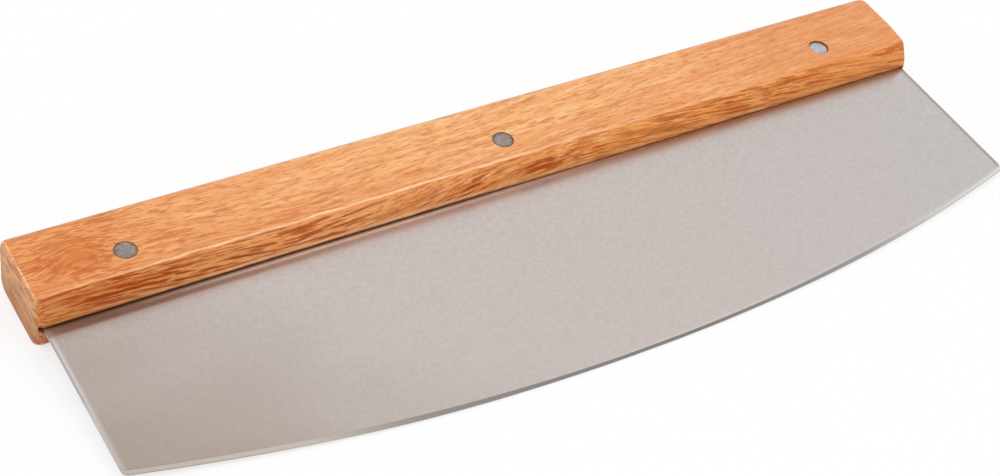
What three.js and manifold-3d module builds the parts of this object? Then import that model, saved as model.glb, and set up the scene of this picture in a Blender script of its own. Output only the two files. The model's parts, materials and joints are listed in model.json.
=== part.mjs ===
// Mezzaluna: a rocker knife with one long wooden handle over a thin, arc-edged steel blade.
// The blade's tang sits in a stopped groove along the handle and three two-piece rivets hold it.
//
// The knife is drawn in its own plane: x runs along the handle, y from the cutting edge towards
// the spine, z square to the blade, with y = 0 at the crown of the handle and z = 0 in the middle
// of the blade. The finished knife is then tilted to lie as it does on a table: on the lower ridge
// of its handle and on the middle of its belly.

import * as THREE from 'three';
import { mergeVertices } from 'three/addons/utils/BufferGeometryUtils.js';
import Module from 'manifold-3d';

const wasm = await Module();
wasm.setup();

// Handle, in millimetres.
const handleLength = 356;
const handleHeight = 33.6; // crown to spine
const handleThickness = 22.2;
const crownRise = 4; // how far the blade side bulges between its two ridges
const ridgeRadius = 1.8; // where the crown meets the broad sides
const spineRadius = 4.4; // long edges of the spine
const endEdgeRadius = 2.4; // edges between the broad sides and the ends
const cornerEase = 1; // how much rounder the four corners are, seen from the broad sides

// Blade.
const bladeEndInset = 2; // from each end of the handle
const bladeEndDrop = 61.5; // from the crown to the corners of the cutting edge
const bellySagitta = 21.6; // how much deeper the cutting edge is at its middle
const bladeThickness = 1.2;
const grindWidth = 1.6; // ground bevel, measured along the blade
const edgeLand = 0.15; // thickness left at the cutting edge
const tangMargin = 9; // steel beyond the rivets' centres
const tangLead = 0.5; // plain strip left below the crown before the belly is shaped

// Groove in the handle.
const grooveSideGap = 0.4; // on each side of the blade
const grooveEndGap = 1.4; // beyond each end of the blade

// Rivets.
const rivetSetback = 13; // from the crown to the rivets' centres
const leftRivetInset = 34.3; // from the left end of the handle
const rightRivetInset = 37.4; // from the right end of the handle
const middleRivetShift = -0.9; // off the midpoint between the outer two
const pinRadius = 1.6;
const sleeveWall = 0.7;
const headRim = 1; // how far the heads reach beyond the sleeve
const headThickness = 1.3;
const headRecess = 0.25; // how far the heads lie under the broad sides
const headEase = 0.25; // chamfer round the heads
const dimpleRadius = 0.8; // mark of the press in the middle of each head
const dimpleDepth = 0.2;
const headGap = 0.25; // round each head in its seat
const fitGap = 0.3; // between pieces that seat on each other

// Fineness of the round faces.
const grindSteps = 720; // facets in a full turn of the grinding circle
const roundSteps = 32;
const arcSteps = 6; // facets in each eased edge
const crownSteps = 12;
const trimMargin = 0.02; // keeps the trimming block clear of the faces it leaves alone
const mergeDistance = 1e-4; // corners closer than this are one corner

// Sizes that follow from those above.
const halfLength = handleLength / 2;
const halfThickness = handleThickness / 2;
const cornerRadius = endEdgeRadius + cornerEase;
const bladeLength = handleLength - 2 * bladeEndInset;
const bladeDrop = bladeEndDrop + bellySagitta;
const bellyRadius = ((bladeLength / 2) ** 2 + bellySagitta ** 2) / (2 * bellySagitta);
const tangDepth = rivetSetback + tangMargin;
const crownRadius = (halfThickness ** 2 + crownRise ** 2) / (2 * crownRise);
const ridgeZ = halfThickness - ridgeRadius;
const ridgeY = crownRadius - Math.sqrt((crownRadius - ridgeRadius) ** 2 - ridgeZ ** 2);
const leftRivetX = leftRivetInset - halfLength;
const rightRivetX = halfLength - rightRivetInset;
const middleRivetX = (leftRivetX + rightRivetX) / 2 + middleRivetShift;
const rivetPlaces = { left: leftRivetX, middle: middleRivetX, right: rightRivetX };
const boreRadius = pinRadius + fitGap;
const sleeveRadius = boreRadius + sleeveWall;
const sleeveHoleRadius = sleeveRadius + fitGap;
const headRadius = sleeveRadius + headRim;
const headTop = halfThickness - headRecess;
const headUnder = headTop - headThickness;
const seatLevel = headUnder - fitGap;

const wood = new THREE.MeshStandardMaterial({ color: 0xd58b4d, roughness: 0.5, metalness: 0 });
const steel = new THREE.MeshStandardMaterial({ color: 0xbdb5b0, roughness: 0.38, metalness: 1 });
const rivetMetal = new THREE.MeshStandardMaterial({ color: 0xa39a95, roughness: 0.45, metalness: 1 });

// A three.js geometry as a solid that can be cut and joined.
function toSolid(geometry) {
  const bare = geometry.clone();
  bare.deleteAttribute('normal');
  bare.deleteAttribute('uv');
  const merged = mergeVertices(bare, mergeDistance);
  const mesh = new wasm.Mesh({
    numProp: 3,
    vertProperties: new Float32Array(merged.attributes.position.array),
    triVerts: new Uint32Array(merged.index.array),
  });
  return new wasm.Manifold(mesh);
}

// A solid back as a three.js geometry.
function toGeometry(solid) {
  const mesh = solid.getMesh();
  const geometry = new THREE.BufferGeometry();
  geometry.setAttribute('position', new THREE.BufferAttribute(new Float32Array(mesh.vertProperties), 3));
  geometry.setIndex(new THREE.BufferAttribute(new Uint32Array(mesh.triVerts), 1));
  geometry.computeVertexNormals();
  return geometry;
}

// An upright round bar between two levels.
function upright(radius, low, high, x) {
  const bar = new THREE.CylinderGeometry(radius, radius, high - low, roundSteps);
  bar.rotateX(Math.PI / 2);
  bar.translate(x, rivetSetback, (low + high) / 2);
  return toSolid(bar);
}

// Section of the handle in y and z: flat broad sides and spine, and a crowned blade side.
function handleSection() {
  const turn = Math.atan2(ridgeZ, ridgeY - crownRadius);
  const spineY = handleHeight - spineRadius;
  const spineZ = halfThickness - spineRadius;
  const section = new THREE.Shape();
  section.moveTo(ridgeY, halfThickness);
  section.absarc(ridgeY, ridgeZ, ridgeRadius, Math.PI / 2, turn, false);
  section.absarc(crownRadius, 0, crownRadius, turn, 2 * Math.PI - turn, false);
  section.absarc(ridgeY, -ridgeZ, ridgeRadius, 2 * Math.PI - turn, 1.5 * Math.PI, false);
  section.absarc(spineY, -spineZ, spineRadius, 1.5 * Math.PI, 2 * Math.PI, false);
  section.absarc(spineY, spineZ, spineRadius, 0, Math.PI / 2, false);
  section.closePath();
  return section;
}

// Outline of the handle in x and y, with rounded corners.
function handleOutline() {
  const x = halfLength - cornerRadius;
  const low = cornerRadius - trimMargin;
  const high = handleHeight + trimMargin - cornerRadius;
  const outline = new THREE.Shape();
  outline.absarc(x, high, cornerRadius, 0, Math.PI / 2, false);
  outline.absarc(-x, high, cornerRadius, Math.PI / 2, Math.PI, false);
  outline.absarc(-x, low, cornerRadius, Math.PI, 1.5 * Math.PI, false);
  outline.absarc(x, low, cornerRadius, 1.5 * Math.PI, 2 * Math.PI, false);
  outline.closePath();
  return outline;
}

// The handle: a moulded bar trimmed to round its ends, then grooved, drilled and counterbored.
function makeHandle() {
  const barLength = handleLength + 2 * cornerRadius;
  const bar = new THREE.ExtrudeGeometry(handleSection(), {
    depth: barLength,
    steps: 1,
    bevelEnabled: false,
    curveSegments: crownSteps,
  });
  const alongX = new THREE.Matrix4().makeBasis(
    new THREE.Vector3(0, 1, 0),
    new THREE.Vector3(0, 0, 1),
    new THREE.Vector3(1, 0, 0),
  );
  bar.applyMatrix4(alongX);
  bar.translate(-barLength / 2, 0, 0);

  const blockHalf = halfThickness + trimMargin;
  const block = new THREE.ExtrudeGeometry(handleOutline(), {
    depth: 2 * (blockHalf - endEdgeRadius),
    steps: 1,
    bevelEnabled: true,
    bevelThickness: endEdgeRadius,
    bevelSize: endEdgeRadius,
    bevelOffset: -endEdgeRadius,
    bevelSegments: arcSteps,
    curveSegments: arcSteps,
  });
  block.translate(0, 0, endEdgeRadius - blockHalf);

  const grooveLength = bladeLength + 2 * grooveEndGap;
  const grooveDepth = tangDepth + fitGap;
  const groove = new THREE.BoxGeometry(
    grooveLength,
    grooveDepth + cornerRadius,
    bladeThickness + 2 * grooveSideGap,
  );
  groove.translate(0, (grooveDepth - cornerRadius) / 2, 0);

  let solid = toSolid(bar).intersect(toSolid(block)).subtract(toSolid(groove));
  const outside = halfThickness + headThickness;
  for (const x of Object.values(rivetPlaces)) {
    solid = solid.subtract(upright(sleeveHoleRadius, -outside, outside, x));
    solid = solid.subtract(upright(headRadius + headGap, seatLevel, outside, x));
    solid = solid.subtract(upright(headRadius + headGap, -outside, -seatLevel, x));
  }
  return solid;
}

// The blade: a plate with straight ends, cut from a disc whose rim is ground to an edge on both sides,
// and a tang strip of the same length that stands in the groove.
function makeBlade() {
  const halfBlade = bladeThickness / 2;
  const halfLand = edgeLand / 2;
  const disc = new THREE.LatheGeometry(
    [
      new THREE.Vector2(0, -halfBlade),
      new THREE.Vector2(bellyRadius - grindWidth, -halfBlade),
      new THREE.Vector2(bellyRadius, -halfLand),
      new THREE.Vector2(bellyRadius, halfLand),
      new THREE.Vector2(bellyRadius - grindWidth, halfBlade),
      new THREE.Vector2(0, halfBlade),
    ],
    grindSteps,
  );
  disc.rotateX(Math.PI / 2);
  disc.translate(0, bellyRadius - bladeDrop, 0);

  const plateDepth = bladeDrop + grindWidth;
  const plate = new THREE.BoxGeometry(bladeLength, plateDepth, 2 * bladeThickness);
  plate.translate(0, -tangLead - plateDepth / 2, 0);

  const tangRoot = 2 * tangLead; // the strip starts inside the plate, so that the two join
  const tang = new THREE.BoxGeometry(bladeLength, tangDepth + tangRoot, bladeThickness);
  tang.translate(0, (tangDepth - tangRoot) / 2, 0);

  let solid = toSolid(plate).intersect(toSolid(disc)).add(toSolid(tang));
  for (const x of Object.values(rivetPlaces)) {
    solid = solid.subtract(upright(sleeveHoleRadius, -bladeThickness, bladeThickness, x));
  }
  return solid;
}

// A rivet half turned about its own axis, from a profile of radius and level.
function turned(profile, x) {
  const spun = new THREE.LatheGeometry(
    profile.map(([radius, level]) => new THREE.Vector2(radius, level)),
    roundSteps,
  );
  spun.rotateX(Math.PI / 2);
  spun.translate(x, rivetSetback, 0);
  return toSolid(spun);
}

// Solid half: a flat head on the upper side, with its pin reaching down into the sleeve.
function makePin(x) {
  const pinEnd = -seatLevel + 2 * fitGap;
  return turned(
    [
      [0, pinEnd],
      [pinRadius - headEase, pinEnd],
      [pinRadius, pinEnd + headEase],
      [pinRadius, headUnder],
      [headRadius, headUnder],
      [headRadius, headTop - headEase],
      [headRadius - headEase, headTop],
      [dimpleRadius, headTop],
      [0, headTop - dimpleDepth],
    ],
    x,
  );
}

// Tubular half: a flat head on the lower side, with its sleeve passing through handle and blade.
function makeSleeve(x) {
  const boreEnd = -seatLevel + fitGap;
  return turned(
    [
      [0, dimpleDepth - headTop],
      [dimpleRadius, -headTop],
      [headRadius - headEase, -headTop],
      [headRadius, headEase - headTop],
      [headRadius, -headUnder],
      [sleeveRadius, -headUnder],
      [sleeveRadius, seatLevel],
      [boreRadius, seatLevel],
      [boreRadius, boreEnd],
      [0, boreEnd],
    ],
    x,
  );
}

// A finished sub-part of the knife.
function piece(name, solid, material) {
  const mesh = new THREE.Mesh(toGeometry(solid), material);
  mesh.name = name;
  return mesh;
}

const knife = new THREE.Group();
knife.add(piece('handle', makeHandle(), wood));
knife.add(piece('blade', makeBlade(), steel));
for (const [place, x] of Object.entries(rivetPlaces)) {
  knife.add(piece(`${place}_rivet_pin`, makePin(x), rivetMetal));
  knife.add(piece(`${place}_rivet_sleeve`, makeSleeve(x), rivetMetal));
}

// Tilt at which one level line touches the handle's lower ridge and a point of the belly's middle.
function tiltToTouch(drop, thickness) {
  const reach = drop + ridgeY;
  const rise = ridgeZ - thickness / 2;
  return Math.atan2(rise, reach) + Math.asin(ridgeRadius / Math.hypot(reach, rise));
}

// Lay the knife down: the shoulder of the ground bevel or the edge itself comes to rest first.
const shoulderTilt = tiltToTouch(bladeDrop - grindWidth, bladeThickness);
const edgeTilt = tiltToTouch(bladeDrop, edgeLand);
knife.rotation.x = Math.min(shoulderTilt, edgeTilt);

// Set it down with the middle of its footprint at the origin.
const mezzaluna = new THREE.Group();
mezzaluna.add(knife);
const box = new THREE.Box3().setFromObject(mezzaluna, true);
const middle = box.getCenter(new THREE.Vector3());
knife.position.set(-middle.x, -middle.y, -box.min.z);

export default mezzaluna;
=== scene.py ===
"""Dresses the mezzaluna: a rocker knife with a wooden bar handle, an arc-edged steel blade and rivets.

Lengths are in metres. The shapes are worked out in the knife's own plane, where x runs along the handle,
v from the crown of the handle to its spine and w square to the blade, and are then laid in the row frame.
The materials measure the same three in millimetres and call them along, height and depth.
"""
import json
import logging
import math
from abc import ABC, abstractmethod
from dataclasses import dataclass
from enum import Enum
from functools import reduce
from typing import Any, Sequence, Union

import bpy
import numpy as np
from mathutils import Matrix, Vector


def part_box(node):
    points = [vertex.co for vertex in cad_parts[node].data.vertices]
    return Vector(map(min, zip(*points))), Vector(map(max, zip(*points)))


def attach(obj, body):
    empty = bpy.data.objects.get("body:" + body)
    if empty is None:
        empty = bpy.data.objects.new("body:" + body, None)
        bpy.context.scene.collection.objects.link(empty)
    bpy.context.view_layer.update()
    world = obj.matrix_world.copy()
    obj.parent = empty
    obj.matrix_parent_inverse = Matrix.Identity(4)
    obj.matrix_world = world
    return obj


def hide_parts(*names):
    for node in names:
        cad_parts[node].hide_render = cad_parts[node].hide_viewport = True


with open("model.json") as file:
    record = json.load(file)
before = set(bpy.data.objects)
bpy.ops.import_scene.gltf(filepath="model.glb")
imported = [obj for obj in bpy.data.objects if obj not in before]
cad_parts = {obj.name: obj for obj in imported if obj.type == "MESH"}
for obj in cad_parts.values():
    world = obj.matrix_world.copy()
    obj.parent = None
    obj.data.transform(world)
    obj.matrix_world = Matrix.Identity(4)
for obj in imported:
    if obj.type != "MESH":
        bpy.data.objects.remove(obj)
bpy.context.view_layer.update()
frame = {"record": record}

LOG = logging.getLogger("mezzaluna")
BODY = "root"
MILLIMETRES = 1000.0
SHARP_ANGLE = math.radians(32.0)
# Sockets for colours on a mix node, which follow those for numbers and vectors
MIX_BELOW = 6
MIX_ABOVE = 7
MIX_RESULT = 2

Pair = tuple[float, float]
Triple = tuple[float, float, float]
Colour = tuple[float, float, float, float]
Faces = list[list[int]]
Item = bpy.types.Object
Material = bpy.types.Material
Node = bpy.types.Node
Socket = bpy.types.NodeSocket
Feed = Union[Socket, float, Sequence[float]]


def tone(red: int, green: int, blue: int) -> Colour:
    """Turns a colour in screen values into the linear values that shaders use, by the standard curve.

    Args:
        red: Screen red, from 0 to 255.
        green: Screen green.
        blue: Screen blue.

    Returns:
        Linear red, green, blue and an alpha of 1.
    """
    screen = np.array([red, green, blue]) / 255.0
    linear = np.where(screen <= 0.04045, screen / 12.92, ((screen + 0.055) / 1.055) ** 2.4)
    return (*(float(part) for part in linear), 1.0)


def arc(centre: Pair, radius: float, start: float, end: float, count: int) -> np.ndarray:
    """Points of a circular arc: the centre plus the radius times cosine and sine of evenly stepped angles.

    Args:
        centre: Centre of the circle.
        radius: Its radius.
        start: First angle, in radians.
        end: Last angle, in radians.
        count: Number of points.

    Returns:
        An array of count points.
    """
    angle = np.linspace(start, end, count)
    return np.asarray(centre) + radius * np.stack([np.cos(angle), np.sin(angle)], axis=1)


def graded_line(start: Pair, end: Pair, count: int) -> np.ndarray:
    """Points strictly between two ends of a straight line, closer together near both ends.

    The share of the way is half of one minus the cosine of an even angle.

    Args:
        start: First end, which is left out.
        end: Last end, which is left out.
        count: Number of points between them.

    Returns:
        An array of count points.
    """
    share = (0.5 - 0.5 * np.cos(np.linspace(0.0, np.pi, count + 2)))[1:-1, None]
    return np.asarray(start) * (1.0 - share) + np.asarray(end) * share


def smooth_step(value: np.ndarray, low: float, high: float) -> np.ndarray:
    """Rises smoothly from 0 at low to 1 at high: three times the square less twice the cube of the share.

    Args:
        value: Where to measure.
        low: Start of the rise.
        high: End of the rise.

    Returns:
        Shares from 0 to 1.
    """
    share = np.clip((value - low) / (high - low), 0.0, 1.0)
    return share * share * (3.0 - 2.0 * share)


def quarter_round(past: np.ndarray, radius: np.ndarray | float) -> np.ndarray:
    """How far a quarter circle has fallen: the radius less the root of its square less the way squared.

    Args:
        past: How far along the quarter circle's axis, which counts from 0 to the radius.
        radius: Radius of the quarter circle.

    Returns:
        The fall, from 0 to the radius.
    """
    way = np.clip(past, 0.0, radius)
    return radius - np.sqrt(radius ** 2 - way ** 2)


@dataclass(frozen=True)
class KnifePlane:
    """The knife's own plane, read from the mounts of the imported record."""

    origin: np.ndarray
    along: np.ndarray
    across: np.ndarray
    square: np.ndarray

    @classmethod
    def from_spine(cls, mount: dict[str, Any], spine_height: float) -> "KnifePlane":
        """Finds the plane from the flat of the spine, whose mount lies over the middle of the blade.

        Args:
            mount: The spine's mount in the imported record.
            spine_height: From the crown of the handle to its spine.

        Returns:
            The plane, with its origin in the middle of the crown.
        """
        across = np.array(mount["axis"])
        across = across / np.linalg.norm(across)
        along = np.array([1.0, 0.0, 0.0])
        origin = np.array(mount["pos_m"]) - spine_height * across
        return cls(origin, along, across, np.cross(along, across))

    @property
    def axes(self) -> np.ndarray:
        """The three axes as rows."""
        return np.stack([self.along, self.across, self.square])

    @property
    def tilt(self) -> float:
        """Angle by which the knife is tipped about the row's X axis, in radians."""
        return math.atan2(self.across[2], self.across[1])

    def place(self, points: np.ndarray) -> np.ndarray:
        """Row-frame places of points given in the knife's own plane."""
        return self.origin + points @ self.axes

    def measure(self, places: np.ndarray) -> np.ndarray:
        """Points in the knife's own plane of places given in the row frame."""
        return (places - self.origin) @ self.axes.T

    def depth(self, mount: dict[str, Any]) -> float:
        """How far a mount lies from the middle of the blade, square to it."""
        return abs(float(self.measure(np.array(mount["pos_m"]))[2]))


def shade(mesh: bpy.types.Mesh, sharp_angle: float) -> None:
    """Shades a mesh smooth, with the edges that turn more than an angle kept sharp."""
    mesh.polygons.foreach_set("use_smooth", np.ones(len(mesh.polygons), dtype=bool))
    mesh.set_sharp_from_angle(angle=sharp_angle)


class Skin:
    """A closed surface carried through a stack of rings and capped at both ends."""

    def __init__(self, rings: np.ndarray) -> None:
        """Joins each ring to the next with four-sided faces.

        Args:
            rings: Array of ring, point on the ring, and coordinate.
        """
        count, around, _ = rings.shape
        ring = np.arange(count - 1)[:, None] * around
        point = np.arange(around)[None, :]
        after = (point + 1) % around
        corners = [ring + point, ring + after, ring + around + after, ring + around + point]
        quads = np.stack(np.broadcast_arrays(*corners), axis=-1).reshape(-1, 4)
        self.points = rings.reshape(-1, 3)
        first_cap = np.arange(around)[::-1]
        last_cap = (count - 1) * around + np.arange(around)
        if self.inside_out(quads):
            quads = quads[:, ::-1]
            first_cap = first_cap[::-1]
            last_cap = last_cap[::-1]
        self.faces: Faces = quads.tolist() + [first_cap.tolist(), last_cap.tolist()]

    def inside_out(self, quads: np.ndarray) -> bool:
        """Whether the faces point inwards: the volume that they sweep from their middle is negative.

        Args:
            quads: Numbers of the four corners of each face.

        Returns:
            True where they have to be turned round.
        """
        a, b, c, d = (self.points[quads[:, side]] - self.points.mean(axis=0) for side in range(4))
        volume = np.einsum("ij,ij->", a, np.cross(b, c)) + np.einsum("ij,ij->", a, np.cross(c, d))
        return bool(volume < 0.0)

    def to_object(self, name: str, sharp_angle: float = SHARP_ANGLE) -> Item:
        """Makes the surface an object at the origin, smooth except at its sharp edges.

        Args:
            name: Name of the object.
            sharp_angle: Edges that turn more than this stay sharp.

        Returns:
            The new object.
        """
        mesh = bpy.data.meshes.new(name)
        mesh.from_pydata(self.points.tolist(), [], self.faces)
        mesh.update()
        shade(mesh, sharp_angle)
        item = bpy.data.objects.new(name, mesh)
        bpy.context.scene.collection.objects.link(item)
        return item


def carve(body: Item, cutters: Sequence[Item], sharp_angle: float) -> None:
    """Cuts closed meshes out of another one, keeps the result as its own mesh and removes the cutters.

    Args:
        body: What is cut.
        cutters: What it is cut with.
        sharp_angle: Edges that turn more than this are sharp afterwards.
    """
    for cutter in cutters:
        cut = body.modifiers.new("cut", "BOOLEAN")
        cut.operation = "DIFFERENCE"
        cut.solver = "EXACT"
        cut.object = cutter
    graph = bpy.context.evaluated_depsgraph_get()
    body.data = bpy.data.meshes.new_from_object(body.evaluated_get(graph))
    body.modifiers.clear()
    for cutter in cutters:
        bpy.data.objects.remove(cutter)
    shade(body.data, sharp_angle)


@dataclass(frozen=True)
class Step:
    """A smooth step: it goes from start to end while a value goes from low to high."""

    low: float
    high: float
    start: float
    end: float

    @classmethod
    def up(cls, low: float, high: float, top: float = 1.0) -> "Step":
        """A step from zero up to a top."""
        return cls(low, high, 0.0, top)

    @classmethod
    def down(cls, low: float, high: float, top: float = 1.0) -> "Step":
        """A step from a top down to zero."""
        return cls(low, high, top, 0.0)


@dataclass(frozen=True)
class Hump:
    """A smooth hump: up to a top while a value goes from low to full, and down again from fade to high."""

    low: float
    full: float
    fade: float
    high: float
    top: float = 1.0


@dataclass(frozen=True)
class Bend:
    """A soft bend: nothing up to a start, and then a slope, with an ease between them."""

    start: float
    ease: float
    slope: float


@dataclass(frozen=True)
class Pattern:
    """A noise: its lumps per millimetre along the knife's axes, its finer layers and their strength.

    Its values lie round 0.5, and its step says where it shows.
    """

    lumps: Triple
    layers: float
    shown: Step = Step.up(0.3, 0.7)
    strength: float = 0.5


class Mix(Enum):
    """How one colour is laid over another."""

    COVER = "MIX"
    TINT = "MULTIPLY"


class NodeDesk:
    """Lays out the shader nodes of one tree, with short calls for the kinds used here."""

    def __init__(self, tree: bpy.types.NodeTree) -> None:
        """Starts with an empty tree."""
        self.tree = tree
        self.tree.nodes.clear()

    def node(self, kind: str, *feeds: Feed, **settings: Any) -> Node:
        """Adds a node.

        Args:
            kind: Blender's name for the kind of node.
            feeds: What its first sockets take, in order.
            settings: Its options.

        Returns:
            The node.
        """
        added = self.tree.nodes.new(kind)
        for key, value in settings.items():
            setattr(added, key, value)
        for socket, value in zip(added.inputs, feeds):
            self.feed(socket, value)
        return added

    def feed(self, socket: Socket, value: Feed) -> None:
        """Links a socket to another one, or sets it to a constant.

        Args:
            socket: The socket that takes the value.
            value: Another node's socket, or the constant.
        """
        if isinstance(value, Socket):
            self.tree.links.new(value, socket)
        else:
            socket.default_value = value

    def math(self, operation: str, *values: Feed) -> Socket:
        """One arithmetic step on numbers."""
        return self.node("ShaderNodeMath", *values, operation=operation).outputs[0]

    def vector(self, operation: str, *values: Feed) -> Socket:
        """One arithmetic step on vectors; a length comes out as a number."""
        step = self.node("ShaderNodeVectorMath", *values, operation=operation)
        return step.outputs["Value" if operation == "LENGTH" else "Vector"]

    def split(self, vector: Socket) -> tuple[Socket, ...]:
        """The three parts of a vector."""
        return tuple(self.node("ShaderNodeSeparateXYZ", vector).outputs)

    def product(self, *values: Feed) -> Feed:
        """All the numbers multiplied together."""
        return reduce(lambda total, value: self.math("MULTIPLY", total, value), values)

    def most(self, *values: Feed) -> Feed:
        """The greatest of the numbers."""
        return reduce(lambda total, value: self.math("MAXIMUM", total, value), values)

    def plus(self, base: Feed, gain: float, value: Feed) -> Socket:
        """A base plus a gain times a value."""
        return self.math("MULTIPLY_ADD", value, gain, base)

    def step(self, value: Feed, shape: Step) -> Socket:
        """A smooth step on a value."""
        return self.node("ShaderNodeMapRange", value, shape.low, shape.high, shape.start, shape.end,
                         interpolation_type="SMOOTHSTEP", clamp=True).outputs[0]

    def hump(self, value: Feed, shape: Hump) -> Feed:
        """A smooth hump on a value."""
        rise = self.step(value, Step.up(shape.low, shape.full))
        return self.product(rise, self.step(value, Step.down(shape.fade, shape.high, shape.top)))

    def bend(self, value: Feed, shape: Bend) -> Feed:
        """A soft bend on a value."""
        past = self.math("SUBTRACT", value, shape.start)
        return self.product(self.math("SMOOTH_MAX", past, 0.0, shape.ease), shape.slope)

    def noise(self, vector: Socket, pattern: Pattern, threefold: bool = False) -> Socket:
        """A noise at a place in millimetres.

        Args:
            vector: The place.
            pattern: What the noise is like.
            threefold: Whether to give three independent values as a colour in place of one.

        Returns:
            The noise, whose middle value is 0.5.
        """
        made = self.node("ShaderNodeTexNoise", noise_dimensions="3D")
        self.feed(made.inputs["Vector"], self.vector("MULTIPLY", vector, pattern.lumps))
        made.inputs["Scale"].default_value = 1.0
        made.inputs["Detail"].default_value = pattern.layers
        made.inputs["Roughness"].default_value = pattern.strength
        return made.outputs["Color"] if threefold else made.outputs[0]

    def marks(self, vector: Socket, pattern: Pattern) -> Socket:
        """Where a noise shows at a place in millimetres."""
        return self.step(self.noise(vector, pattern), pattern.shown)

    def blend(self, share: Feed, first: Feed, second: Feed, mix: Mix = Mix.COVER) -> Socket:
        """Lays a colour over another one.

        Args:
            share: How much of the second colour is laid.
            first: The colour below.
            second: The colour above.
            mix: How it is laid.

        Returns:
            The colour.
        """
        mixed = self.node("ShaderNodeMix", share, data_type="RGBA", blend_type=mix.value)
        self.feed(mixed.inputs[MIX_BELOW], first)
        self.feed(mixed.inputs[MIX_ABOVE], second)
        return mixed.outputs[MIX_RESULT]

    def ramp(self, value: Feed, stops: Sequence[tuple[float, Colour]]) -> Socket:
        """A colour that changes evenly from stop to stop along a value.

        Args:
            value: What the stops are measured on.
            stops: Pairs of value and colour, in rising order.

        Returns:
            The colour.
        """
        low, high = stops[0][0], stops[-1][0]
        share = self.node("ShaderNodeMapRange", value, low, high, clamp=True)
        scale = self.node("ShaderNodeValToRGB", share.outputs[0])
        elements = scale.color_ramp.elements
        elements[0].color = stops[0][1]
        elements[1].color = stops[-1][1]
        for stop, colour in stops[1:-1]:
            elements.new((stop - low) / (high - low)).color = colour
        return scale.outputs[0]

    def bump(self, height: Feed, distance: float) -> Socket:
        """Normals of a raised surface.

        Args:
            height: How far each place is raised.
            distance: What a height of 1 stands for, in metres.

        Returns:
            The normals.
        """
        raised = self.node("ShaderNodeBump")
        raised.inputs["Strength"].default_value = 1.0
        raised.inputs["Distance"].default_value = distance
        self.feed(raised.inputs["Height"], height)
        return raised.outputs[0]

    def shader(self, **sockets: Feed) -> Socket:
        """The surface shader.

        Args:
            sockets: What its sockets take, by their names with _ for spaces.

        Returns:
            The shader's result.
        """
        made = self.node("ShaderNodeBsdfPrincipled")
        for key, value in sockets.items():
            self.feed(made.inputs[key.replace("_", " ").title().replace("Ior", "IOR")], value)
        return made.outputs[0]


def new_material(name: str) -> Material:
    """A material that is made of nodes.

    Args:
        name: Name of the material.

    Returns:
        The material.
    """
    material = bpy.data.materials.new(name)
    material.use_nodes = True
    return material


class KnifeCoat(NodeDesk):
    """The nodes of a material on the knife: places in the knife's own plane, and the colour laid so far."""

    def __init__(self, name: str, plane: KnifePlane, ground: Colour) -> None:
        """Starts a material from places on the object, turned into the knife's own plane in millimetres.

        Args:
            name: Name of the material.
            plane: The knife's own plane.
            ground: The colour that the others are laid on.
        """
        self.material = new_material(name)
        super().__init__(self.material.node_tree)
        where = self.node("ShaderNodeTexCoord").outputs["Object"]
        turn = self.node("ShaderNodeMapping", where, vector_type="POINT")
        turn.inputs["Scale"].default_value = (MILLIMETRES,) * 3
        turn.inputs["Rotation"].default_value = (-plane.tilt, 0.0, 0.0)
        turn.inputs["Location"].default_value = tuple(-MILLIMETRES * (plane.axes @ plane.origin))
        self.place = turn.outputs["Vector"]
        self.along, self.height, self.depth = self.split(self.place)
        self.colour: Feed = ground

    def lay(self, colour: Feed, *shares: Feed) -> None:
        """Lays a colour over what is there, by the product of some shares."""
        self.colour = self.blend(self.product(*shares), self.colour, colour)

    def darken_by(self, colour: Feed, *shares: Feed) -> None:
        """Multiplies what is there by a colour, by the product of some shares."""
        self.colour = self.blend(self.product(*shares), self.colour, colour, Mix.TINT)

    def finish(self, **sockets: Feed) -> Material:
        """Ends the material with a surface shader that has the colour.

        Args:
            sockets: What the shader's other sockets take, by their names with _ for spaces.

        Returns:
            The material.
        """
        self.node("ShaderNodeOutputMaterial", self.shader(base_color=self.colour, **sockets))
        return self.material


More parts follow.
